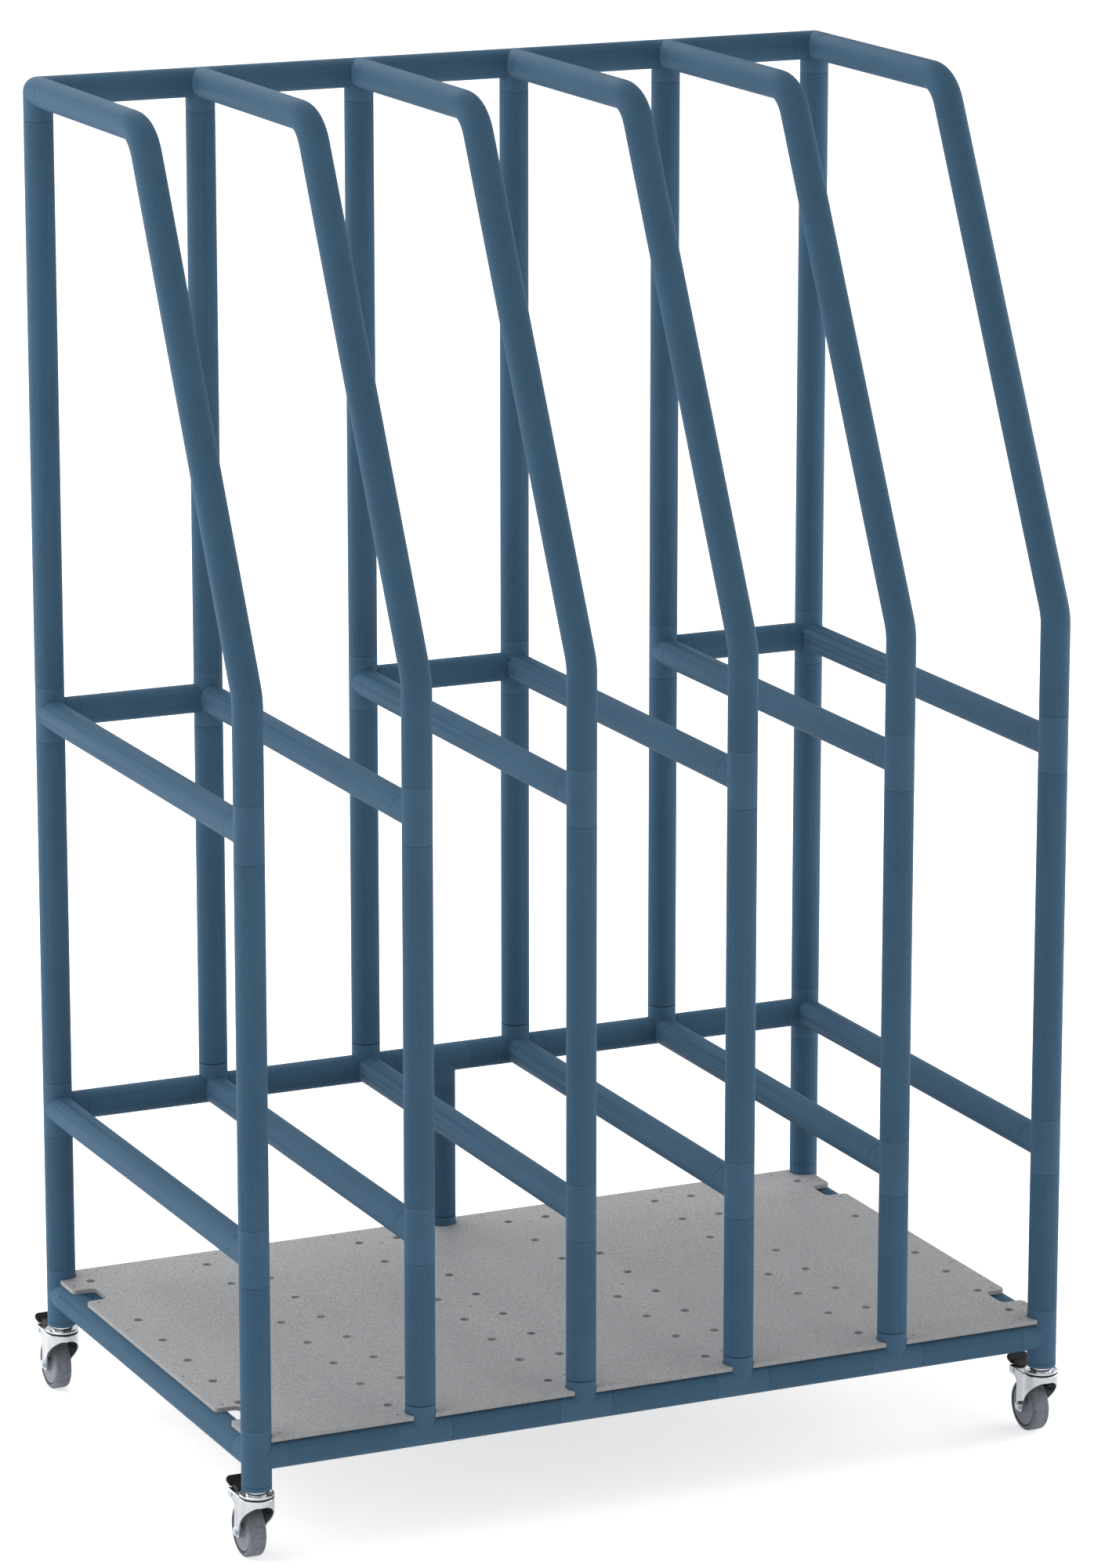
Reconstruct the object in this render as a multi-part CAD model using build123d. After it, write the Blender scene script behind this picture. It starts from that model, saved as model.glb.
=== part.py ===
from build123d import *
import os
from math import atan2, cos, degrees, hypot, radians, sin, tan

os.makedirs("parts", exist_ok=True)

# Mattress storage trolley: six divider frames of plastic tube on a decked base with four braked casters.
# Millimetres, +Z up from the floor, X across the bays, front at -Y.

# Frame tube and its flush internal fittings
tube_od = 42.2
tube_wall = 3.6
fitting_reach = 40.7  # fitting centre to the shoulder that a tube butts on
spigot_length = 25.0  # spigot inside a tube
spigot_wall = 3.0
spigot_clearance = 0.15  # all round, between spigot and tube
stub_gap = 6.0  # between the two spigots that share a short tube
edge_break = 0.6  # chamfer round tube ends and shoulders

# Frame layout, between tube axes
divider_count = 6
bay_pitch = 244.0
frame_depth = 760.0
low_rail_rise = 285.0  # above the base rails
middle_rail_rise = 875.5
bend_rise = 1059.6  # where the front upright and the slope would meet
top_rise = 1770.3
top_arm = 404.3  # back upright to where the top arm and the slope would meet
bend_radius = 60.0

# Deck sheet
deck_thickness = 6.35
deck_side_overhang = 8.5  # past the end rails' axes
deck_end_overhang = 15.0  # past the front and back rails' axes
deck_clearance = 1.0  # round the uprights
notch_width = 53.0  # notches in the deck's two ends
notch_depth = 33.5
notch_inset = 100.6  # front or back rail axis to a notch's middle
notch_inner_radius = 9.0
notch_outer_radius = 7.0
drain_diameter = 13.0
drain_rows = 8
drain_inset = 42.2  # front or back rail axis to the nearest row
drain_offset = 30.5  # each side of a divider
drain_skipped_row = 6  # left out of the two end columns, beside the back notches

# Deck screws
screw_diameter = 3.0
screw_head_diameter = 4.8
screw_head_height = 1.6
screw_length = 22.0
screw_clearance = 0.05
recess_span = 2.8  # cross recess in a screw's head
recess_width = 0.6
recess_depth = 0.9
screw_end_inset = 55.0  # from a crossing rail's axis
screw_front_inset = 34.4  # from an upright's axis, along the front rail
screw_notch_inset = 6.0  # inboard of the end rail's axis
side_screw_count = 4  # along an end rail
inner_screw_count = 3  # along an inner rail

# Caster wheel
wheel_radius = 37.5
tyre_width = 24.0
tyre_depth = 7.0
tyre_shoulder = 4.0
wheel_trail = 30.0  # swivel axis to axle
core_recess = 0.5  # wheel centre's sides inside the tyre's
core_chamfer = 1.2
hub_radius = 10.0
hub_play = 0.3  # hub to fork leg, each side
axle_radius = 4.0
sleeve_wall = 2.0
running_clearance = 0.05
bolt_clearance = 0.1
nut_across_flats = 12.0
nut_height = 3.8
bolt_head_radius = 6.5
bolt_head_height = 3.5
bolt_end = 1.0  # past the nut

# Caster fork
fork_sheet = 2.0
fork_leg_gap = 32.0
fork_length = 62.0  # swivel axis to the ends of the arms
fork_shoulder = 22.0  # swivel axis to where the sides run parallel
shoulder_bend = 10.0
sheet_bend = 1.8  # outside radius of the pressed bends
tyre_headroom = 13.0  # tyre to the underside of the fork's deck
arm_depth = 11.0
arm_fillet = 13.0
arm_corner = 4.0
lug_radius = 9.0
skirt_height = 9.5  # at the front, below the race cup's top
arch_rise = 1.5  # how far the skirt's edge arches above a straight line

# Caster swivel
race_radius = 24.3
cup_rise = 5.5  # race cup above the fork's deck
cup_thickness = 2.5
kingpin_radius = 6.0
rivet_radius = 10.0
rivet_height = 4.0
race_gap = 0.1  # between turning and fixed faces
ball_play = 0.2  # balls to the turning race
ball_radius = 2.4
ball_circle = 14.0
ball_count = 12
seal_height = 2.4
seal_width = 3.6
cap_rim_height = 2.9
cap_rim_width = 3.0
cap_dish = 1.2  # cap's middle below its rim
collar_radius = 15.5
collar_height = 6.1  # cap's rim to the plug
stem_radius = 5.5
stem_length = 26.0
plug_flange = 6.4
plug_length = 30.0

# Caster brake pedal
pin_radius = 2.0
pin_head_radius = 3.2
pin_head_height = 1.2
pin_behind_axle = 20.0
pin_below_deck = 6.0  # below the top of the fork's deck
pedal_half_width = 9.5
pedal_slot_play = 1.0
pedal_boss_radius = 5.0
pedal_front = 5.0  # pin to the pedal's front face
pedal_top = 8.0  # pin to the pedal's top at its front
shoe_radius = 2.5
shoe_gap = 0.4  # shoe to tyre at its nearest
shoe_swing = 28.0  # degrees back from its nearest point, pedal up
pad_ahead = 13.5  # pin to the pad's lower edge, along Y
pad_above = 7.0  # pin to the pad's lower edge, up
pad_tilt = 55.0  # degrees
pad_foot = 12.7  # half the pad's width at its lower edge
pad_lean = 26.0  # degrees, of the pad's sides outwards
pad_corner = 6.0
pad_height = 15.5
pad_thickness = 4.5
pad_round = 1.5

same_place = 0.001  # how near two points or sizes count as one

# Values that follow from the sizes above
tube_radius = tube_od / 2
tube_bore = tube_radius - tube_wall
spigot_radius = tube_bore - spigot_clearance
fitting_bore = spigot_radius - spigot_wall
stub_length = bay_pitch / 2 - 2 * fitting_reach
stub_spigot = (stub_length - stub_gap) / 2

deck_under = 2 * wheel_radius + tyre_headroom
fork_deck = deck_under + fork_sheet
cup_top = fork_deck + cup_rise
cap_under = cup_top + race_gap + seal_height
cap_rim = cap_under + cap_rim_height
plug_under = cap_rim + collar_height
base_z = plug_under + plug_flange + fitting_reach
low_z = base_z + low_rail_rise
middle_z = base_z + middle_rail_rise
bend_z = base_z + bend_rise
top_z = base_z + top_rise
deck_bottom = base_z + tube_radius
deck_top = deck_bottom + deck_thickness

leg_outer = fork_leg_gap / 2 + fork_sheet
pin_y = wheel_trail + pin_behind_axle
pin_z = fork_deck - pin_below_deck

bay_count = divider_count - 1
divider_x = [(i - bay_count / 2) * bay_pitch for i in range(divider_count)]
last = divider_count - 1
inner_dividers = (bay_count // 2, bay_count // 2 + 1)
post_x = sum(divider_x[i] for i in inner_dividers) / 2
closed_bays = range(0, bay_count, 2)  # bays with a middle back rail

UP, DOWN, LEFT, RIGHT, FRONT, BACK = "+z", "-z", "-x", "+x", "-y", "+y"
SEAM = Rot(0, 0, 20)  # keeps the seams of round faces clear of each other
AXES = {"x": Vector(1, 0, 0), "y": Vector(0, 1, 0), "z": Vector(0, 0, 1)}


# Shared shapes


def spun(face, origin=(0, 0, 0), direction=(0, 0, 1)):
    """Solid turned from a (radius, height) sketch about an axis through origin."""
    return Plane(origin=origin, z_dir=direction) * SEAM * revolve(Plane.XZ * face, Axis.Z)


def turned(points, origin=(0, 0, 0), direction=(0, 0, 1)):
    """Solid turned from (radius, height) points."""
    return spun(make_face(Polyline(*points, close=True)), origin, direction)


def rod(radius, start, end):
    """Plain round bar between two points."""
    direction = Vector(*end) - Vector(*start)
    return Plane(origin=start, z_dir=direction) * SEAM * extrude(Circle(radius), direction.length)


def slab(outline, x_from, x_to):
    """Side-view sketch, drawn with its own x as Y and its own y as Z, made solid from x_from to x_to."""
    return extrude(Plane(origin=(x_from, 0, 0), x_dir=(0, 1, 0), z_dir=(1, 0, 0)) * outline, x_to - x_from)


def tube(start, end):
    """Frame tube with square, lightly chamfered ends."""
    direction = Vector(*end) - Vector(*start)
    length = direction.length
    points = [
        (tube_bore, 0),
        (tube_radius - edge_break, 0),
        (tube_radius, edge_break),
        (tube_radius, length - edge_break),
        (tube_radius - edge_break, length),
        (tube_bore, length),
    ]
    return turned(points, start, direction)


def arm_end(spigot):
    """Half outline, from the centre outwards, of a fitting's arm with a spigot, a socket (0) or no arm."""
    if spigot is None:
        return [(tube_radius, 0), (0, 0)]
    shoulder = [(tube_radius, fitting_reach - edge_break), (tube_radius - edge_break, fitting_reach)]
    if spigot == 0:
        return shoulder + [(0, fitting_reach)]
    tip = fitting_reach + spigot
    return shoulder + [(spigot_radius, fitting_reach), (spigot_radius, tip), (0, tip)]


def fitting(center, arms):
    """Hollow moulded fitting, flush with the tubes; arms gives each direction its spigot's length."""
    body = None
    for name, axis in AXES.items():
        ahead = arms.get("+" + name)
        behind = arms.get("-" + name)
        if ahead is None and behind is None:
            continue
        back_half = [(r, -h) for r, h in reversed(arm_end(behind))]
        run = turned(back_half + arm_end(ahead), center, axis)
        body = run if body is None else body + run
    if not any("+" + name in arms and "-" + name in arms for name in AXES):
        body += Pos(*center) * Sphere(tube_radius)
    for direction, spigot in arms.items():
        bore = tube_bore if spigot == 0 else fitting_bore
        step = AXES[direction[1]] * float(direction[0] + "1")
        body -= rod(bore, center, tuple(Vector(*center) + step * (fitting_reach + spigot)))
    return body


def between(start, end):
    """Tube between the facing shoulders of two fittings."""
    step = (Vector(*end) - Vector(*start)).normalized() * fitting_reach
    return tube(tuple(Vector(*start) + step), tuple(Vector(*end) - step))


def full(*directions):
    """Arms with spigots of the usual length."""
    return {direction: spigot_length for direction in directions}


# Caster, with its swivel axis at the origin, trailing towards +Y
axle = (0, wheel_trail, wheel_radius)
core_radius = wheel_radius - tyre_depth
leg_inner = fork_leg_gap / 2
sleeve_radius = axle_radius + sleeve_wall
ball_z = (cup_top + cap_under) / 2
slot_front = pin_y - pedal_front - pedal_slot_play


def wheel_core():
    """Moulded wheel centre with a plain bore."""
    bore = sleeve_radius + running_clearance
    side = tyre_width / 2 - core_recess
    hub = leg_inner - hub_play
    half = [
        (core_radius, side - core_chamfer),
        (core_radius - core_chamfer, side),
        (hub_radius, side),
        (hub_radius, hub),
        (bore, hub),
    ]
    return turned([(r, -x) for r, x in reversed(half)] + half, axle, (1, 0, 0))


def tyre():
    """Solid tyre bonded round the wheel centre."""
    half = tyre_width / 2
    tread = half - tyre_shoulder
    side = wheel_radius - tyre_shoulder
    outline = Curve() + [
        Line((core_radius, -half), (core_radius, half)),
        Line((core_radius, half), (side, half)),
        CenterArc((side, tread), tyre_shoulder, 0, 90),
        Line((wheel_radius, -tread), (wheel_radius, tread)),
        CenterArc((side, -tread), tyre_shoulder, -90, 90),
        Line((side, -half), (core_radius, -half)),
    ]
    return spun(make_face(outline), axle, (1, 0, 0))


def axle_sleeve():
    """Spacer sleeve that the wheel turns on."""
    bore = axle_radius + bolt_clearance
    points = [(bore, -leg_inner), (sleeve_radius, -leg_inner), (sleeve_radius, leg_inner), (bore, leg_inner)]
    return turned(points, axle, (1, 0, 0))


def axle_bolt():
    """Axle bolt, its head on the right."""
    tip = leg_outer + nut_height + bolt_end
    crown = leg_outer + bolt_head_height
    points = [
        (0, -tip),
        (axle_radius - bolt_end / 2, -tip),
        (axle_radius, bolt_end / 2 - tip),
        (axle_radius, leg_outer),
        (bolt_head_radius, leg_outer),
        (bolt_head_radius * 0.95, leg_outer + bolt_head_height * 0.6),
        (bolt_head_radius * 0.7, crown),
        (0, crown),
    ]
    return turned(points, axle, (1, 0, 0))


def axle_nut():
    """Hexagon nut with its outer corners turned off."""
    flat = nut_across_flats / 2
    corner = flat / cos(radians(30))
    outline = RegularPolygon(flat, 6, major_radius=False, rotation=30) - Circle(axle_radius + bolt_clearance)
    nut = slab(Pos(wheel_trail, wheel_radius) * outline, -leg_outer - nut_height, -leg_outer)
    points = [
        (0, -leg_outer - nut_height),
        (flat, -leg_outer - nut_height),
        (corner, flat - corner - leg_outer - nut_height / 2),
        (corner, -leg_outer),
        (0, -leg_outer),
    ]
    return nut & turned(points, axle, (1, 0, 0))


def fork_plan(radius, half_width, length, bend):
    """Outline from above: a round head drawn in to two parallel sides."""
    points = [
        (-half_width, length),
        (-half_width, fork_shoulder),
        (-radius, 0),
        (radius, 0),
        (half_width, fork_shoulder),
        (half_width, length),
    ]
    sides = make_face(Polyline(*points, close=True))
    corners = [v for v in sides.vertices() if abs(v.Y - fork_shoulder) < same_place]
    return fillet(corners, bend) + Circle(radius)


def fork_side():
    """Outline from the side: skirt, leg with its axle lug, and arm."""
    ahead = -race_radius - fork_sheet
    above = cup_top + fork_sheet
    skirt = cup_top - skirt_height
    arm_under = fork_deck - arm_depth
    lug_front = wheel_trail - lug_radius
    lug_back = wheel_trail + lug_radius
    arch_front = fork_sheet - race_radius
    run = lug_front - arch_front
    drop = skirt - wheel_radius
    slant = hypot(run, drop)
    arch = (lug_front - run / 2 + arch_rise * drop / slant, skirt - drop / 2 + arch_rise * run / slant)
    outline = Curve() + [
        Line((ahead, above), (ahead, skirt)),
        Line((ahead, skirt), (arch_front, skirt)),
        ThreePointArc((arch_front, skirt), arch, (lug_front, wheel_radius)),
        CenterArc((wheel_trail, wheel_radius), lug_radius, 180, 180),
        Line((lug_back, wheel_radius), (lug_back, arm_under - arm_fillet)),
        CenterArc((lug_back + arm_fillet, arm_under - arm_fillet), arm_fillet, 90, 90),
        Line((lug_back + arm_fillet, arm_under), (fork_length - arm_corner, arm_under)),
        CenterArc((fork_length - arm_corner, arm_under + arm_corner), arm_corner, -90, 90),
        Line((fork_length, arm_under + arm_corner), (fork_length, above)),
        Line((fork_length, above), (ahead, above)),
    ]
    return make_face(outline)


def race_cup():
    """Outside of the raised race cup, with a rounded rim."""
    rim = race_radius - sheet_bend
    outline = Curve() + [
        Line((0, deck_under), (race_radius, deck_under)),
        Line((race_radius, deck_under), (race_radius, cup_top - sheet_bend)),
        CenterArc((rim, cup_top - sheet_bend), sheet_bend, 0, 90),
        Line((rim, cup_top), (0, cup_top)),
        Line((0, cup_top), (0, deck_under)),
    ]
    return spun(make_face(outline))


def fork():
    """Pressed fork: race cup, deck with the pedal's slot, skirt, two legs and two arms."""
    low = wheel_radius - lug_radius
    plan = fork_plan(race_radius, leg_outer, fork_length, shoulder_bend)
    inner_bend = shoulder_bend + fork_sheet
    hollow = fork_plan(race_radius - fork_sheet, leg_inner, fork_length + fork_sheet, inner_bend)
    blank = Pos(0, 0, low) * extrude(plan, fork_deck - low)
    bends = [e for e in blank.faces().sort_by(Axis.Z)[-1].edges() if e.center().Y < fork_length - same_place]
    body = fillet(bends, sheet_bend) + race_cup()
    body -= Pos(0, 0, low) * extrude(hollow, deck_under - low)
    body -= rod(race_radius - fork_sheet, (0, 0, low), (0, 0, cup_top - cup_thickness))
    body &= slab(fork_side(), -race_radius - fork_sheet, race_radius + fork_sheet)
    body -= rod(kingpin_radius + running_clearance, (0, 0, deck_under), (0, 0, cup_top))
    groove = ball_radius + ball_play
    body -= Pos(0, 0, ball_z) * Torus(ball_circle, groove)
    body -= rod(axle_radius + bolt_clearance, (-leg_outer, *axle[1:]), (leg_outer, *axle[1:]))
    body -= rod(pin_radius + running_clearance, (-leg_outer, pin_y, pin_z), (leg_outer, pin_y, pin_z))
    slot = pedal_half_width + pedal_slot_play
    slot_side = Rectangle(fork_length, fork_sheet, align=Align.MIN)
    body -= slab(Pos(slot_front, deck_under) * slot_side, -slot, slot)
    return body


def stem():
    """Stem, collar, upper race and riveted kingpin."""
    rivet_top = cup_top - cup_thickness - race_gap
    floor = cap_rim - cap_dish
    points = [
        (0, rivet_top - rivet_height),
        (rivet_radius * 0.7, rivet_top - rivet_height),
        (rivet_radius, rivet_top - rivet_height / 2),
        (rivet_radius, rivet_top),
        (kingpin_radius, rivet_top),
        (kingpin_radius, cap_under),
        (race_radius, cap_under),
        (race_radius, cap_rim - edge_break),
        (race_radius - edge_break, cap_rim),
        (race_radius - cap_rim_width, cap_rim),
        (race_radius - cap_rim_width - cap_dish, floor),
        (collar_radius, floor),
        (collar_radius, plug_under),
        (stem_radius, plug_under),
        (stem_radius, plug_under + stem_length),
        (0, plug_under + stem_length),
    ]
    groove = ball_radius + ball_play
    return turned(points) - Pos(0, 0, ball_z - ball_play) * Torus(ball_circle, groove)


def seal():
    """Dust seal under the upper race's rim."""
    inner = race_radius - seal_width
    bottom = cup_top + race_gap
    return turned([(inner, bottom), (race_radius, bottom), (race_radius, cap_under), (inner, cap_under)])


def ball(index):
    """One swivel ball."""
    angle = radians(360 * index / ball_count)
    return Pos(ball_circle * cos(angle), ball_circle * sin(angle), ball_z) * Sphere(ball_radius)


def plug():
    """Moulded plug that holds the stem in the tube's end."""
    bore = stem_radius + bolt_clearance
    flange = plug_under + plug_flange
    points = [
        (bore, plug_under),
        (tube_radius - edge_break, plug_under),
        (tube_radius, plug_under + edge_break),
        (tube_radius, flange - edge_break),
        (tube_radius - edge_break, flange),
        (spigot_radius, flange),
        (spigot_radius, flange + plug_length),
        (bore, flange + plug_length),
    ]
    return turned(points)


def pedal():
    """Brake pedal: foot pad, neck, boss on its pin, and the shoe that meets the tyre."""
    reach = hypot(pin_behind_axle, pin_z - wheel_radius) - wheel_radius - shoe_gap - shoe_radius
    nearest = degrees(atan2(wheel_radius - pin_z, -pin_behind_axle))
    turn = radians(nearest + shoe_swing)
    shoe = (pin_y + reach * cos(turn), pin_z + reach * sin(turn))
    finger = Pos((pin_y + shoe[0]) / 2, (pin_z + shoe[1]) / 2) * Rot(0, 0, degrees(turn))
    tilt = radians(pad_tilt)
    low_edge = (pin_y + pad_ahead, pin_z + pad_above)
    back_edge = (low_edge[0] + pad_thickness * sin(tilt), low_edge[1] - pad_thickness * cos(tilt))
    third = pad_height / 3
    neck = [
        (pin_y - pedal_front, pin_z),
        (pin_y - pedal_front, pin_z + pedal_top),
        (low_edge[0] + third * cos(tilt), low_edge[1] + third * sin(tilt)),
        (back_edge[0] + third * cos(tilt), back_edge[1] + third * sin(tilt)),
        back_edge,
        (pin_y + pedal_boss_radius, pin_z),
    ]
    outline = make_face(Polyline(*neck, close=True))
    outline += Pos(pin_y, pin_z) * Circle(pedal_boss_radius)
    outline += finger * Rectangle(reach, 2 * shoe_radius)
    outline += Pos(*shoe) * Circle(shoe_radius)
    body = slab(outline, -pedal_half_width, pedal_half_width)
    head = pad_foot + pad_height * tan(radians(pad_lean))
    pad_points = [(-pad_foot, 0), (pad_foot, 0), (head, pad_height), (-head, pad_height)]
    pad_outline = make_face(Polyline(*pad_points, close=True))
    pad_outline = fillet(pad_outline.vertices().sort_by(Axis.Y)[2:], pad_corner)
    pad_plane = Plane(origin=(0, *low_edge), x_dir=(1, 0, 0), z_dir=(0, -sin(tilt), cos(tilt)))
    pad = extrude(pad_outline, -pad_thickness)
    body += pad_plane * fillet(pad.edges(), pad_round)
    return body - rod(pin_radius + running_clearance, (-leg_outer, pin_y, pin_z), (leg_outer, pin_y, pin_z))


def pedal_pin():
    """Pivot pin, headed over outside both arms."""
    head = leg_outer + pin_head_height
    half = [(pin_radius, leg_outer), (pin_head_radius, leg_outer), (pin_head_radius, head), (0, head)]
    return turned([(r, -x) for r, x in reversed(half)] + half, (0, pin_y, pin_z), (1, 0, 0))


caster_bodies = {
    "fork": [fork()],
    "axle": [axle_bolt(), axle_nut()],
    "axle_sleeve": [axle_sleeve()],
    "tyre": [tyre()],
    "wheel_centre": [wheel_core()],
    "brake_pedal": [pedal()],
    "pedal_pin": [pedal_pin()],
}
caster_fixed = {
    "caster_end_plugs": [plug()],
    "caster_stems": [stem()],
    "caster_seals": [seal()],
    "caster_swivel_balls": [ball(i) for i in range(ball_count)],
}

# Front and back planes, placed so that the whole trolley is centred from front to back
pedal_back = caster_bodies["brake_pedal"][0].bounding_box().max.Y
front_y = -(frame_depth + pedal_back - race_radius) / 2
back_y = front_y + frame_depth
bend_y = back_y - top_arm

nodes = {}


def add(name, *solids):
    nodes.setdefault(name, []).extend(solids)


# Base
corners = [(x, y) for y in (front_y, back_y) for x in (divider_x[0], divider_x[last])]
for x, y in corners:
    inward = RIGHT if x == divider_x[0] else LEFT
    along = BACK if y == front_y else FRONT
    add("base_corner_fittings", fitting((x, y, base_z), {**full(UP, inward, along), DOWN: 0}))
for i in range(1, last):
    arms = (LEFT, RIGHT, UP, BACK) if i in inner_dividers else (LEFT, RIGHT, UP)
    add("base_front_tees", fitting((divider_x[i], front_y, base_z), full(*arms)))
for i in inner_dividers:
    outward, towards_post = (LEFT, RIGHT) if divider_x[i] < post_x else (RIGHT, LEFT)
    arms = {**full(outward, FRONT), towards_post: stub_spigot}
    add("base_inner_rail_tees", fitting((divider_x[i], back_y, base_z), arms))
for z, along in ((base_z, UP), (low_z, DOWN)):
    arms = {**full(along), LEFT: stub_spigot, RIGHT: stub_spigot}
    add("centre_post_tees", fitting((post_x, back_y, z), arms))
for i in (0, last):
    add("base_side_rails", between((divider_x[i], front_y, base_z), (divider_x[i], back_y, base_z)))
for i in inner_dividers:
    add("base_inner_rails", between((divider_x[i], front_y, base_z), (divider_x[i], back_y, base_z)))
for i in range(bay_count):
    ends = (divider_x[i], front_y, base_z), (divider_x[i + 1], front_y, base_z)
    add("base_front_rail_tubes", between(*ends))
base_back_joints = [divider_x[i] for i in (0, *inner_dividers, last)] + [post_x]
base_back_joints.sort()
for left, right in zip(base_back_joints, base_back_joints[1:]):
    add("base_back_rail_tubes", between((left, back_y, base_z), (right, back_y, base_z)))
for x in (divider_x[0], post_x, divider_x[last]):
    add("lower_back_posts", between((x, back_y, base_z), (x, back_y, low_z)))


# Divider frames


def bent_tube(x):
    """One length from the middle tee up the front, along the slope and back to the top rail."""
    start = (x, front_y, middle_z + fitting_reach)
    end = (x, back_y - fitting_reach, top_z)
    path = FilletPolyline(start, (x, front_y, bend_z), (x, bend_y, top_z), end, radius=bend_radius)
    section = Plane(origin=start, z_dir=(0, 0, 1)) * (Circle(tube_radius) - Circle(tube_bore))
    body = sweep(section, path=path)
    rims = [e for e in body.edges().filter_by(GeomType.CIRCLE) if abs(e.radius - tube_radius) < same_place]
    rims = [e for e in rims if any((e.arc_center - Vector(*tip)).length < same_place for tip in (start, end))]
    return chamfer(rims, edge_break)


for i, x in enumerate(divider_x):
    sideways = [side for side, bay in ((LEFT, i - 1), (RIGHT, i)) if 0 <= bay < bay_count]
    closed = [side for side, bay in ((LEFT, i - 1), (RIGHT, i)) if bay in closed_bays]
    at_end = i in (0, last)
    front = {z: (x, front_y, z) for z in (base_z, low_z, middle_z)}
    back = {z: (x, back_y, z) for z in (low_z, middle_z, top_z)}
    for z in (low_z, middle_z):
        add("front_upright_tees", fitting(front[z], full(UP, DOWN, BACK)))
    low_name = "lower_back_corner_fittings" if at_end else "lower_back_crosses"
    low_arms = [UP, FRONT, *sideways] + ([DOWN] if at_end else [])
    low_spigots = full(*low_arms)
    if i in inner_dividers:
        low_spigots[RIGHT if x < post_x else LEFT] = stub_spigot
    add(low_name, fitting(back[low_z], low_spigots))
    add("middle_back_fittings", fitting(back[middle_z], full(UP, DOWN, FRONT, *closed)))
    top_name = "top_back_corner_elbows" if at_end else "top_back_crosses"
    add(top_name, fitting(back[top_z], full(DOWN, FRONT, *sideways)))
    add("front_upright_lower_tubes", between(front[base_z], front[low_z]))
    add("front_upright_middle_tubes", between(front[low_z], front[middle_z]))
    add("back_upright_lower_tubes", between(back[low_z], back[middle_z]))
    add("back_upright_upper_tubes", between(back[middle_z], back[top_z]))
    add("lower_side_rails", between(front[low_z], back[low_z]))
    add("middle_side_rails", between(front[middle_z], back[middle_z]))
    add("bent_front_tubes", bent_tube(x))
for i in range(bay_count):
    add("top_back_rail_tubes", between((divider_x[i], back_y, top_z), (divider_x[i + 1], back_y, top_z)))
    stops = [divider_x[i], divider_x[i + 1]]
    if i == inner_dividers[0]:
        stops.insert(1, post_x)
    for left, right in zip(stops, stops[1:]):
        add("lower_back_rail_tubes", between((left, back_y, low_z), (right, back_y, low_z)))
    if i in closed_bays:
        ends = (divider_x[i], back_y, middle_z), (divider_x[i + 1], back_y, middle_z)
        add("middle_back_rail_tubes", between(*ends))

# Deck screws
middle_y = (front_y + back_y) / 2
drain_run = frame_depth - 2 * drain_inset
drain_y = [front_y + drain_inset + drain_run * row / (drain_rows - 1) for row in range(drain_rows)]
screw_run = frame_depth - 2 * screw_end_inset
screw_counts = {i: inner_screw_count for i in inner_dividers}
screw_counts[0] = screw_counts[last] = side_screw_count
screws = []
for i, count in screw_counts.items():
    step = screw_run / (count - 1)
    screws += [(divider_x[i], front_y + screw_end_inset + step * k) for k in range(count)]
for x, inward in ((divider_x[0], 1), (divider_x[last], -1)):
    screws += [(x + inward * screw_notch_inset, y) for y in (drain_y[1], drain_y[-2])]
    screws.append((x + inward * screw_end_inset, back_y))
    screws += [(x + inward * inset, front_y) for inset in (screw_front_inset, bay_pitch - screw_front_inset)]
for i in range(1, last):
    offsets = (-screw_end_inset, screw_end_inset) if i in inner_dividers else (0,)
    screws += [(divider_x[i] + offset, back_y) for offset in offsets]


def screw():
    """Countersunk deck screw with a cross recess, flush with the deck."""
    shank = screw_diameter / 2
    head = screw_head_diameter / 2
    neck = deck_top - screw_head_height
    tip = deck_top - screw_length
    points = [(0, tip), (shank, tip + screw_diameter), (shank, neck), (head, deck_top), (0, deck_top)]
    recess = Rectangle(recess_span, recess_width) + Rectangle(recess_width, recess_span)
    return turned(points) - Pos(0, 0, deck_top) * extrude(recess, -recess_depth)


def screw_hole(x, y, top, bottom):
    """Plain hole for a screw's shank."""
    return rod(screw_diameter / 2 + screw_clearance, (x, y, bottom), (x, y, top))


def drilled(solid):
    """The piece with a hole for each deck screw that enters it."""
    box = solid.bounding_box()
    for x, y in screws:
        if box.min.X < x < box.max.X and box.min.Y < y < box.max.Y:
            solid -= screw_hole(x, y, deck_bottom, deck_top - screw_length)
    return solid


for name in [name for name in nodes if name.startswith("base_")]:
    nodes[name] = [drilled(solid) for solid in nodes[name]]
deck_screw = screw()
add("deck_screws", *(Pos(x, y, 0) * deck_screw for x, y in screws))


# Deck


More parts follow.
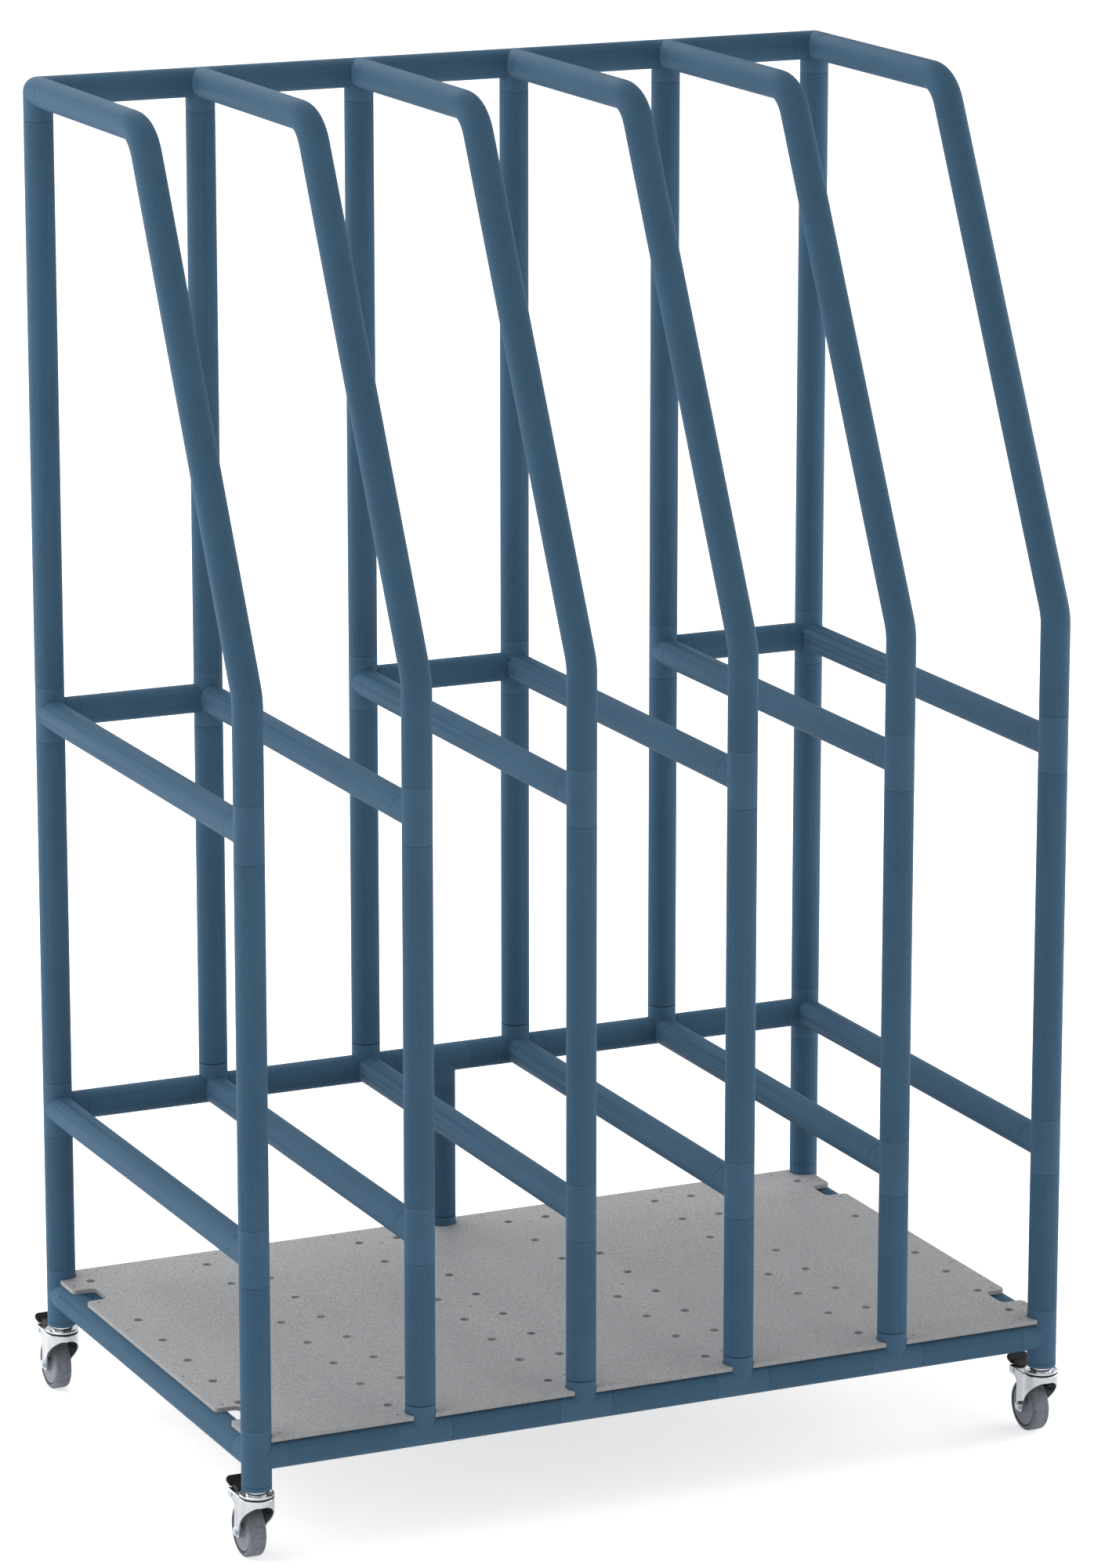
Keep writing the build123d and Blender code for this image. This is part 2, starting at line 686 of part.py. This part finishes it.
def deck():
    """Perforated deck sheet, cut round the uprights and notched at both ends."""
    half_width = divider_x[last] + deck_side_overhang
    half_depth = frame_depth / 2 + deck_end_overhang
    notch_x = half_width - notch_depth / 2
    notch_y = [front_y + notch_inset, back_y - notch_inset]
    sheet = Pos(0, middle_y) * Rectangle(2 * half_width, 2 * half_depth)
    for side in (-1, 1):
        for y in notch_y:
            sheet -= Pos(side * notch_x, y) * Rectangle(notch_depth, notch_width)
    for depth, radius in ((notch_depth, notch_inner_radius), (0, notch_outer_radius)):
        bends = [v for v in sheet.vertices() if abs(abs(v.X) - (half_width - depth)) < same_place]
        bends = [v for v in bends if any(abs(abs(v.Y - y) - notch_width / 2) < same_place for y in notch_y)]
        sheet = fillet(bends, radius)
    posts = [(x, front_y) for x in divider_x]
    posts += [(x, back_y) for x in (divider_x[0], post_x, divider_x[last])]
    sheet -= [Pos(x, y) * Circle(tube_radius + deck_clearance) for x, y in posts]
    outermost = divider_x[last] - drain_offset
    columns = [x + side * drain_offset for x in divider_x for side in (-1, 1)]
    columns = [x for x in columns if abs(x) <= outermost + same_place]
    drains = [(x, row) for x in columns for row in range(drain_rows)]
    drains = [(x, row) for x, row in drains if abs(x) < outermost - same_place or row != drain_skipped_row]
    sheet -= [Pos(x, drain_y[row]) * Circle(drain_diameter / 2) for x, row in drains]
    body = Pos(0, 0, deck_bottom) * extrude(sheet, deck_thickness)
    shank = screw_diameter / 2 + screw_clearance
    head = screw_head_diameter / 2 + screw_clearance
    neck = deck_top - screw_head_height
    sink = [(0, deck_bottom), (shank, deck_bottom), (shank, neck), (head, deck_top), (0, deck_top)]
    return body - [turned(sink, (x, y, 0)) for x, y in screws]


add("deck_panel", deck())

# Casters
sides = ("left", "right")
ends = ("front", "back")
for k, (x, y) in enumerate(corners):
    prefix = f"{ends[k // 2]}_{sides[k % 2]}_caster_"
    for name, solids in caster_bodies.items():
        add(prefix + name, *(Pos(x, y, 0) * solid for solid in solids))
    for name, solids in caster_fixed.items():
        add(name, *(Pos(x, y, 0) * solid for solid in solids))

for name, solids in nodes.items():
    export_step(Compound(solids) if len(solids) > 1 else solids[0], f"parts/{name}.step")
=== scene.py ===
import bmesh
import bpy
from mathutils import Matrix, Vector


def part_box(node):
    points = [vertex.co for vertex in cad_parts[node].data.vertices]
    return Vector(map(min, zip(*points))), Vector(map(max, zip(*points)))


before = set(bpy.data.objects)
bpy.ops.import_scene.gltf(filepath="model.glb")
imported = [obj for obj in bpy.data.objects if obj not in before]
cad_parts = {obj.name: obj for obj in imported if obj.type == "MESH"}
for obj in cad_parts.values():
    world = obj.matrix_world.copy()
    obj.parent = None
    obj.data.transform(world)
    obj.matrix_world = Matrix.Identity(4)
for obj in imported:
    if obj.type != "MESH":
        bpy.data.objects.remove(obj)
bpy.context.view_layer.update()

scene = bpy.context.scene


# Shader tools

NOISE_SPAN = (0.3, 0.7)  # holds nearly all values of a noise texture
MIDDLE_SPAN = (0.35, 0.65)  # narrower, for more contrast
GRAIN_DEPTH = 0.0002  # metres


def srgb(r, g, b):
    """8-bit display colour as linear RGBA."""
    def linear(v):
        v /= 255
        return v / 12.92 if v <= 0.04045 else ((v + 0.055) / 1.055) ** 2.4
    return (linear(r), linear(g), linear(b), 1.0)


class Tree:
    """Short ways to add shader nodes to a material or world."""

    def __init__(self, owner):
        owner.use_nodes = True
        self.tree = owner.node_tree
        self.tree.nodes.clear()

    def add(self, kind, **settings):
        """New node with its settings."""
        node = self.tree.nodes.new("ShaderNode" + kind)
        for key, value in settings.items():
            setattr(node, key, value)
        return node

    def put(self, socket, value):
        """Link an output, or set a plain value."""
        if isinstance(value, bpy.types.NodeSocket):
            self.tree.links.new(value, socket)
        else:
            socket.default_value = value

    def mapped(self, source="Object", scale=(1, 1, 1), shift=(0, 0, 0)):
        """Texture coordinates, scaled and then shifted."""
        node = self.add("Mapping")
        self.put(node.inputs["Vector"], self.add("TexCoord").outputs[source])
        self.put(node.inputs["Scale"], scale)
        self.put(node.inputs["Location"], shift)
        return node.outputs["Vector"]

    def parts(self, vector):
        """The X, Y and Z of a vector, by name."""
        node = self.add("SeparateXYZ")
        self.put(node.inputs["Vector"], vector)
        return node.outputs

    def noise(self, vector, scale=1.0, detail=3.0, roughness=0.55):
        """Value of a noise texture."""
        node = self.add("TexNoise")
        self.put(node.inputs["Vector"], vector)
        self.put(node.inputs["Scale"], scale)
        self.put(node.inputs["Detail"], detail)
        self.put(node.inputs["Roughness"], roughness)
        return node.outputs["Fac"]

    def ramp(self, value, span, to=(0.0, 1.0)):
        """Smooth step over a span of the value, from the first to the second number of to."""
        node = self.add("MapRange", interpolation_type="SMOOTHSTEP")
        self.put(node.inputs["Value"], value)
        for name, number in zip(("From Min", "From Max", "To Min", "To Max"), (*span, *to)):
            self.put(node.inputs[name], number)
        return node.outputs["Result"]

    def math(self, operation, a, b=0.5):
        """One operation on a and, where it takes two numbers, b."""
        node = self.add("Math", operation=operation)
        self.put(node.inputs[0], a)
        self.put(node.inputs[1], b)
        return node.outputs[0]

    def length(self, a, b):
        """Length of a line that goes a along one axis and b along another."""
        squares = [self.math("MULTIPLY", part, part) for part in (a, b)]
        return self.math("SQRT", self.math("ADD", *squares))

    def mix(self, factor, a, b):
        """Colour between a and b."""
        node = self.add("Mix", data_type="RGBA")
        self.put(node.inputs["Factor"], factor)
        self.put(node.inputs["A"], a)
        self.put(node.inputs["B"], b)
        return node.outputs["Result"]

    def bump(self, height, strength, depth=GRAIN_DEPTH, normal=None):
        """Bumped normal, on top of another where one is given."""
        node = self.add("Bump")
        self.put(node.inputs["Height"], height)
        self.put(node.inputs["Strength"], strength)
        self.put(node.inputs["Distance"], depth)
        if normal is not None:
            self.put(node.inputs["Normal"], normal)
        return node.outputs["Normal"]


def surface(name, build, metallic=0.0, specular=0.5):
    """Principled material; build(tree) returns its colour, roughness and normal."""
    material = bpy.data.materials.new(name)
    tree = Tree(material)
    shader = tree.add("BsdfPrincipled")
    output = tree.add("OutputMaterial")
    tree.put(output.inputs["Surface"], shader.outputs["BSDF"])
    for key, value in zip(("Base Color", "Roughness", "Normal"), build(tree)):
        tree.put(shader.inputs[key], value)
    tree.put(shader.inputs["Metallic"], metallic)
    tree.put(shader.inputs["Specular IOR Level"], specular)
    return material


# Where the frame's tubes are

BAYS = 5
upright_low, upright_high = (Vector(corner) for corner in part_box("front_upright_lower_tubes"))
back_upright_low, back_upright_high = (Vector(corner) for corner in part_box("back_upright_lower_tubes"))
rail_low, rail_high = (Vector(corner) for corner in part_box("lower_side_rails"))
corner_fitting_low = Vector(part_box("base_corner_fittings")[0])
tube_radius = (upright_high.y - upright_low.y) / 2
front_y = (upright_low.y + upright_high.y) / 2
back_y = (back_upright_low.y + back_upright_high.y) / 2
first_x = upright_low.x + tube_radius
bay_pitch = (upright_high.x - tube_radius - first_x) / BAYS


# Pipe plastic of the tubes and fittings

TUBE = srgb(60, 88, 111), srgb(75, 107, 131)
FITTING = srgb(65, 93, 117), srgb(80, 112, 136)
# Dark colour of the painted reflections and shadows of the neighbouring rails on the side rails
PAINTED_REFLECTION = srgb(54, 81, 103)
SCUFF = srgb(96, 124, 146)
JOINT_DIRT = srgb(26, 40, 53)
PIPE_SPECULAR = 0.03
PIPE_ROUGHNESS = (0.5, 0.6)
SCUFF_STRENGTH = 0.5
SCUFF_ROUGHNESS = 0.2  # added to the pipe's own
MOTTLE_SHARE, DIE_LINE_SHARE, SPECK_SHARE = 0.25, 0.25, 0.5  # of the way between a piece's two shades
DIE_LINES_ALONG, DIE_LINES_ACROSS = 5, 700  # noise scales
DIE_LINE_DEPTH = 0.0003  # metres
# Strength of those painted rail reflections where they are full
PAINTED_REFLECTION_STRENGTH = 0.65
DARK_JOINT, FAINT_JOINT = 0.85, 0.2  # strength of the dirt
GROOVE = (0.0005, 0.0009)  # metres from the middle of a joint, over which its dirt fades

# The painted rail reflections fade in over this span, towards the back
painted_reflections_start = rail_low.y + 0.1  # a little behind the rails' front ends
painted_reflections_full = rail_high.y - 0.2  # and ahead of their back ends
arm_start = 1.02 * tube_radius  # from an upright's axis, just clear of its surface
inner_dividers = 2 * bay_pitch  # a reach each side of the middle that leaves out the two end dividers
all_dividers = 3 * bay_pitch
base_joint = upright_low.z, inner_dividers, DARK_JOINT
low_rail_joint = back_upright_low.z, inner_dividers, DARK_JOINT
plug_joint = corner_fitting_low.z, all_dividers, FAINT_JOINT


def beside_upright(tree, axis_y):
    """Masks of a fitting's arms, clear of the upright through it: all arms, and those front to back."""
    place = tree.parts(tree.mapped())
    aside = tree.math("PINGPONG", tree.math("SUBTRACT", place["X"], first_x), bay_pitch / 2)
    behind = tree.math("SUBTRACT", place["Y"], axis_y)
    arms = tree.math("GREATER_THAN", tree.length(aside, behind), arm_start)
    return arms, tree.math("MULTIPLY", arms, tree.math("LESS_THAN", aside, arm_start))


def joint_dirt(tree, height, reach, strength):
    """Mask of the dirt in the joints at a height, as far as reach each side of the middle."""
    place = tree.parts(tree.mapped())
    off = tree.math("ABSOLUTE", tree.math("SUBTRACT", place["Z"], height))
    within = tree.math("LESS_THAN", tree.math("ABSOLUTE", place["X"]), reach)
    return tree.math("MULTIPLY", tree.ramp(off, GROOVE, (strength, 0.0)), within)


def painted_rail_reflections(tree):
    """Mask of painted reflections and shadows of the neighbouring rails, as long dark streaks on the side
    rails that die away towards the front.
    """
    place = tree.parts(tree.mapped())
    strength = tree.ramp(place["Y"], (painted_reflections_start, painted_reflections_full), (0.0, PAINTED_REFLECTION_STRENGTH))
    streaks = tree.noise(tree.mapped(scale=(190, 1.2, 190), shift=(2, 5, 3)), detail=1.0)
    return tree.math("MULTIPLY", tree.ramp(streaks, (0.48, 0.66)), strength)


def scuffs(tree):
    """Mask of scratches in a few patches."""
    patches = tree.noise(tree.mapped(shift=(3, 1, 7)), scale=9.0, detail=2.0)
    scratches = tree.noise(
        tree.mapped(scale=(90, 90, 40), shift=(5, 2, 1)), scale=4.0, detail=5.0, roughness=0.7)
    return tree.math("MULTIPLY", tree.ramp(patches, (0.62, 0.74)), tree.ramp(scratches, (0.6, 0.72)))


def pipe_plastic(name, along, shades, *dirty_joints, upright_y=None, with_painted_reflections=True):
    """Pipe plastic with a fine grain, a soft mottle, a few scuffs and, on tubes, die lines along an axis.

    Side rails along y get painted reflections and shadows of the neighbouring rails, as dark streaks. A
    fitting on an upright at upright_y has arms in the tubes' colour, with the same painted reflections on
    its arms that run front to back, where the rails are, unless turned off.
    """
    def build(tree):
        die_scale = tuple(DIE_LINES_ALONG if axis == along else DIE_LINES_ACROSS for axis in "xyz")
        lines = tree.noise(tree.mapped(scale=die_scale), detail=2.0)
        mottle = tree.noise(tree.mapped(), scale=7.0, detail=4.0)
        grain = tree.noise(tree.mapped(), scale=1500.0, detail=2.0)
        specks = tree.noise(tree.mapped(shift=(6, 3, 2)), scale=800.0, detail=2.0)
        tint = tree.ramp(mottle, NOISE_SPAN, (0.0, MOTTLE_SHARE))
        tint = tree.math("ADD", tint, tree.ramp(lines, MIDDLE_SPAN, (0.0, DIE_LINE_SHARE)))
        tint = tree.math("ADD", tint, tree.ramp(specks, NOISE_SPAN, (0.0, SPECK_SHARE)))
        color = tree.mix(tint, *shades)
        if along == "y":
            # Painted reflections and shadows of the neighbouring rails, as dark streaks along the side
            # rails
            color = tree.mix(painted_rail_reflections(tree), color, PAINTED_REFLECTION)
        if upright_y is not None:
            arms, rail_arms = beside_upright(tree, upright_y)
            color = tree.mix(arms, color, tree.mix(tint, *TUBE))
            # The same painted rail reflections on the arms that run front to back
            if with_painted_reflections:
                color = tree.mix(tree.math("MULTIPLY", rail_arms, painted_rail_reflections(tree)), color, PAINTED_REFLECTION)
        worn = scuffs(tree)
        color = tree.mix(tree.math("MULTIPLY", worn, SCUFF_STRENGTH), color, SCUFF)
        for joint in dirty_joints:
            color = tree.mix(joint_dirt(tree, *joint), color, JOINT_DIRT)
        rubbed = tree.math("MULTIPLY", worn, SCUFF_ROUGHNESS)
        roughness = tree.math("ADD", tree.ramp(mottle, NOISE_SPAN, PIPE_ROUGHNESS), rubbed)
        normal = tree.bump(lines, 0.06, DIE_LINE_DEPTH, normal=tree.bump(grain, 0.12))
        return color, roughness, normal
    return surface(name, build, specular=PIPE_SPECULAR)


tube_along_x, tube_along_y, tube_along_z = (
    pipe_plastic(f"pipe_plastic_{axis}", axis, TUBE) for axis in "xyz")
bent_tube = pipe_plastic("pipe_plastic_bent", None, TUBE)
base_tube = pipe_plastic("pipe_plastic_base_joint", "z", TUBE, base_joint)
low_tube = pipe_plastic("pipe_plastic_low_joint", "z", TUBE, low_rail_joint)
plain_fitting = pipe_plastic("moulded_fitting_plastic", None, FITTING)
front_tee = pipe_plastic("front_tee_plastic", None, FITTING, upright_y=front_y)
back_fitting = pipe_plastic("back_fitting_plastic", None, FITTING, upright_y=back_y)
# Top fittings get no painted rail reflections on their arms
top_fitting = pipe_plastic("top_fitting_plastic", None, FITTING, upright_y=back_y, with_painted_reflections=False)
base_fitting = pipe_plastic("fitting_plastic_base_joint", None, FITTING, base_joint, plug_joint)
low_fitting = pipe_plastic("fitting_plastic_low_joint", None, FITTING, low_rail_joint, upright_y=back_y)


# Deck sheet

DECK_SPECKLE = srgb(127, 127, 128), srgb(189, 189, 190)
DECK_CLOUD = srgb(161, 161, 162)
DECK_EDGE = srgb(150, 150, 151), srgb(166, 166, 167)
COARSE_SHARE, FINE_SHARE = 0.6, 0.4  # of the speckle
CLOUD_STRENGTH = 0.25


def deck_sheet(tree):
    """Grey sheet with a speckle of two sizes and faint clouds on its faces, and saw marks on its edges."""
    coarse = tree.noise(tree.mapped(), scale=340.0, roughness=0.6)
    fine = tree.noise(tree.mapped(shift=(2, 4, 1)), scale=900.0, detail=2.0)
    clouds = tree.noise(tree.mapped(), scale=4.0)
    speckle = tree.ramp(coarse, (0.32, 0.68), (0.0, COARSE_SHARE))
    speckle = tree.math("ADD", speckle, tree.ramp(fine, NOISE_SPAN, (0.0, FINE_SHARE)))
    face = tree.mix(speckle, *DECK_SPECKLE)
    face = tree.mix(tree.ramp(clouds, MIDDLE_SPAN, (0.0, CLOUD_STRENGTH)), face, DECK_CLOUD)
    saw_marks = tree.noise(tree.mapped(scale=(420, 420, 30)))
    edge = tree.mix(tree.ramp(saw_marks, NOISE_SPAN), *DECK_EDGE)
    facing = tree.parts(tree.add("NewGeometry").outputs["True Normal"])
    level = tree.ramp(tree.math("ABSOLUTE", facing["Z"]), (0.4, 0.6))
    normal = tree.bump(coarse, 0.16, depth=0.0006, normal=tree.bump(fine, 0.12, depth=0.0003))
    return tree.mix(level, edge, face), tree.ramp(fine, NOISE_SPAN, (0.5, 0.66)), normal


deck_material = surface("speckled_deck_sheet", deck_sheet, specular=0.3)


# Metals

CLOUDED = 0.9  # share of a metal's brightness that its clouds keep


def metal(name, color, roughness, rub_scale):
    """Plating or bare steel with faint rub marks and an uneven polish."""
    clouded = (*(CLOUDED * part for part in color), 1.0)

    def build(tree):
        rub = tree.noise(tree.mapped(scale=(1, 1, 6)), scale=rub_scale)
        cloud = tree.noise(tree.mapped(shift=(1, 5, 2)), scale=60.0, detail=2.0)
        tint = tree.mix(tree.ramp(cloud, MIDDLE_SPAN), (*color, 1.0), clouded)
        return tint, tree.ramp(rub, NOISE_SPAN, roughness), tree.bump(rub, 0.05)
    return surface(name, build, metallic=1.0)


plating = metal("bright_plating", (0.52, 0.545, 0.57), roughness=(0.08, 0.18), rub_scale=320.0)
zinc = metal("zinc_steel", (0.55, 0.57, 0.6), roughness=(0.2, 0.34), rub_scale=500.0)
polished = metal("polished_steel", (0.7, 0.71, 0.73), roughness=(0.05, 0.1), rub_scale=700.0)
screw_steel = metal("dull_screw_steel", (0.16, 0.16, 0.165), roughness=(0.4, 0.6), rub_scale=900.0)


# Rubber and moulded caster plastics

TYRE = srgb(108, 113, 122), srgb(121, 126, 135)
TREAD = srgb(112, 117, 124), srgb(130, 134, 140)
WHEEL_CENTRE = srgb(121, 125, 132), srgb(132, 136, 143)
PEDAL = srgb(32, 32, 34), srgb(41, 41, 43)
SEAL = srgb(20, 20, 21), srgb(28, 28, 29)
GRIME = srgb(34, 35, 38)
GRIME_STRENGTH = 0.92
TREAD_STRENGTH = 0.6

# Distances from the axle, as shares of the piece's own diameter
TREAD_START = (0.478, 0.496)
TYRE_JOINT = (0.412, 0.419)
CENTRE_RIM = (0.472, 0.482)


def wheel_radius(tree):
    """Distance from the axle, as a share of the piece's diameter."""
    place = tree.parts(tree.mapped("Generated", shift=(-0.5, -0.5, -0.5)))
    return tree.length(place["Y"], place["Z"])


def tyre_rubber(tree):
    """Grey tyre: dusty tread, cleaner sides, dirt in the joint with the wheel's centre."""
    grain = tree.noise(tree.mapped(), scale=1100.0, detail=2.0)
    dust = tree.noise(tree.mapped(shift=(2, 6, 4)), scale=130.0, detail=4.0)
    radius = wheel_radius(tree)
    side = tree.mix(tree.ramp(dust, NOISE_SPAN), *TYRE)
    tread = tree.mix(tree.ramp(dust, (0.35, 0.6)), *TREAD)
    color = tree.mix(tree.math("MULTIPLY", tree.ramp(radius, TREAD_START), TREAD_STRENGTH), side, tread)
    color = tree.mix(tree.ramp(radius, TYRE_JOINT, (GRIME_STRENGTH, 0.0)), color, GRIME)
    return color, tree.ramp(grain, NOISE_SPAN, (0.6, 0.78)), tree.bump(grain, 0.2)


def rim_dirt(tree):
    """Mask of the dirt along the rim of a wheel's centre."""
    return tree.ramp(wheel_radius(tree), CENTRE_RIM, (0.0, GRIME_STRENGTH))


def moulded(name, shades, roughness, grain_scale, grain_strength, specular, dirt=None):
    """Moulded surface with a fine grain, slightly uneven colour and, where given, a mask of dirt."""
    def build(tree):
        grain = tree.noise(tree.mapped(), scale=grain_scale, detail=2.0)
        cloud = tree.noise(tree.mapped(shift=(4, 2, 3)), scale=45.0)
        color = tree.mix(tree.ramp(cloud, NOISE_SPAN), *shades)
        if dirt is not None:
            color = tree.mix(dirt(tree), color, GRIME)
        return color, tree.ramp(grain, NOISE_SPAN, roughness), tree.bump(grain, grain_strength)
    return surface(name, build, specular=specular)


tyre_material = surface("grey_tyre", tyre_rubber, specular=0.25)
wheel_plastic = moulded(
    "wheel_plastic", WHEEL_CENTRE, roughness=(0.45, 0.6), grain_scale=700.0, grain_strength=0.12,
    specular=0.3, dirt=rim_dirt)
pedal_plastic = moulded(
    "pedal_plastic", PEDAL, roughness=(0.45, 0.62), grain_scale=900.0, grain_strength=0.2, specular=0.25)
seal_rubber = moulded(
    "seal_rubber", SEAL, roughness=(0.6, 0.75), grain_scale=1200.0, grain_strength=0.2, specular=0.2)


# Materials onto the CAD nodes

CORNERS = ("front_left", "front_right", "back_left", "back_right")


def dress(material, *names):
    """Give CAD nodes a material."""
    for name in names:
        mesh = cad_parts[name].data
        mesh.materials.clear()
        mesh.materials.append(material)


def on_casters(part):
    """Names of a part's nodes on the four casters."""
    return [f"{corner}_caster_{part}" for corner in CORNERS]


dress(tube_along_x, "base_front_rail_tubes", "base_back_rail_tubes", "lower_back_rail_tubes",
      "middle_back_rail_tubes", "top_back_rail_tubes")
dress(tube_along_y, "base_side_rails", "base_inner_rails", "lower_side_rails", "middle_side_rails")
dress(tube_along_z, "front_upright_middle_tubes", "back_upright_upper_tubes")
dress(bent_tube, "bent_front_tubes")
dress(base_tube, "front_upright_lower_tubes", "lower_back_posts")
dress(low_tube, "back_upright_lower_tubes")
dress(plain_fitting, "base_inner_rail_tees")
dress(front_tee, "front_upright_tees")
dress(back_fitting, "middle_back_fittings")
dress(top_fitting, "top_back_corner_elbows", "top_back_crosses")
dress(base_fitting, "base_corner_fittings", "base_front_tees", "centre_post_tees", "caster_end_plugs")
dress(low_fitting, "lower_back_corner_fittings", "lower_back_crosses")
dress(deck_material, "deck_panel")
dress(screw_steel, "deck_screws")
dress(plating, "caster_stems", *on_casters("fork"))
dress(seal_rubber, "caster_seals")
dress(polished, "caster_swivel_balls")
dress(zinc, *on_casters("axle"), *on_casters("axle_sleeve"), *on_casters("pedal_pin"))
dress(tyre_material, *on_casters("tyre"))
dress(wheel_plastic, *on_casters("wheel_centre"))
dress(pedal_plastic, *on_casters("brake_pedal"))


# White surroundings and floor

WHITE = (1, 1, 1, 1)
WORLD_STRENGTH = 0.4  # as light on the trolley
FLOOR_REACH = 60.0  # metres
FLOOR_COLOR = (0.9, 0.9, 0.9, 1)
FLOOR_LIFT = 0.2  # light that the floor sends up
FLOOR_FADE = (1.2, 4.5)  # metres from the trolley's middle, over which the floor turns to white
FLOOR_GLOW = (0.6, 1.0)


def white_where_seen(tree, plain, white):
    """White where the camera, a mirror or glass looks, and plain for the other light."""
    path = tree.add("LightPath")
    seen = tree.math("MAXIMUM", path.outputs["Is Camera Ray"], path.outputs["Is Glossy Ray"])
    seen = tree.math("MAXIMUM", seen, path.outputs["Is Transmission Ray"])
    node = tree.add("MixShader")
    for socket, value in zip(node.inputs, (seen, plain, white)):
        tree.put(socket, value)
    return node.outputs["Shader"]


def studio_world():
    """Soft light from all sides, seen as plain white."""
    world = bpy.data.worlds.new("studio")
    tree = Tree(world)
    shaders = []
    for strength in (WORLD_STRENGTH, 1.0):
        background = tree.add("Background")
        tree.put(background.inputs["Color"], WHITE)
        tree.put(background.inputs["Strength"], strength)
        shaders.append(background.outputs["Background"])
    output = tree.add("OutputWorld")
    tree.put(output.inputs["Surface"], white_where_seen(tree, *shaders))
    return world


def floor_material():
    """Pale floor that keeps the trolley's shadow, turns to white further out and sends some light up."""
    material = bpy.data.materials.new("pale_floor")
    tree = Tree(material)
    diffuse = tree.add("BsdfDiffuse")
    tree.put(diffuse.inputs["Color"], FLOOR_COLOR)
    distance = tree.add("VectorMath", operation="LENGTH")
    tree.put(distance.inputs[0], tree.mapped())
    shaders = []
    for strength in (FLOOR_LIFT, tree.ramp(distance.outputs["Value"], FLOOR_FADE, FLOOR_GLOW)):
        emission = tree.add("Emission")
        tree.put(emission.inputs["Strength"], strength)
        both = tree.add("AddShader")
        tree.put(both.inputs[0], diffuse.outputs["BSDF"])
        tree.put(both.inputs[1], emission.outputs["Emission"])
        shaders.append(both.outputs["Shader"])
    output = tree.add("OutputMaterial")
    tree.put(output.inputs["Surface"], white_where_seen(tree, *shaders))
    return material


def make_floor():
    """One wide face under the wheels."""
    mesh = bpy.data.meshes.new("floor")
    shape = bmesh.new()
    bmesh.ops.create_grid(shape, x_segments=1, y_segments=1, size=FLOOR_REACH)
    shape.to_mesh(mesh)
    shape.free()
    mesh.materials.append(floor_material())
    floor = bpy.data.objects.new("floor", mesh)
    scene.collection.objects.link(floor)
    return floor


scene.world = studio_world()
floor = make_floor()


# Lamps and camera

LAMP_SIZE = 3.0  # metres
LAMP_TARGET = Vector((0, 0, 1))
LAMPS = (  # name, place in metres and power in watts
    ("left_back_softbox", (-3.2, 3.2, 1.5), 91),
    ("left_front_softbox", (-3.2, -3.2, 1.5), 11),
    ("right_softbox", (4.5, 0, 1.5), 89),
    ("right_front_softbox", (3.2, -3.2, 1.5), 28),
    ("top_back_softbox", (0, 3.2, 4.2), 83),
    ("top_left_softbox", (-3.2, 0, 4.2), 61),
)

FRAME_HEIGHT = 2000  # pixels
FOCAL_LENGTH = 8083.34  # pixels
SENSOR_SIZE = 36.0  # millimetres, along the frame's height
CAMERA_PLACE = (-3.64933, -7.98417, 3.13398)
CAMERA_DIRECTION = Vector((0.40521, 0.88153, -0.24231))
FARTHEST_SEEN = 200.0  # metres


def turned(direction):
    """Rotation of a lamp or camera that looks in a direction."""
    return direction.to_track_quat("-Z", "Y").to_euler()


def softbox(name, place, power):
    """Square soft lamp turned to the middle of the trolley."""
    light = bpy.data.lights.new(name, "AREA")
    light.size = LAMP_SIZE
    light.energy = power
    lamp = bpy.data.objects.new(name, light)
    lamp.location = place
    lamp.rotation_euler = turned(LAMP_TARGET - lamp.location)
    lamp.visible_camera = False
    scene.collection.objects.link(lamp)


def photo_camera():
    """Camera at the photo's place and angle."""
    lens = bpy.data.cameras.new("camera")
    lens.sensor_width = SENSOR_SIZE
    lens.lens = FOCAL_LENGTH / FRAME_HEIGHT * SENSOR_SIZE
    lens.clip_end = FARTHEST_SEEN
    camera = bpy.data.objects.new("camera", lens)
    camera.location = CAMERA_PLACE
    camera.rotation_euler = turned(CAMERA_DIRECTION)
    scene.collection.objects.link(camera)
    return camera


for lamp in LAMPS:
    softbox(*lamp)
scene.camera = photo_camera()
scene.view_settings.view_transform = "Standard"
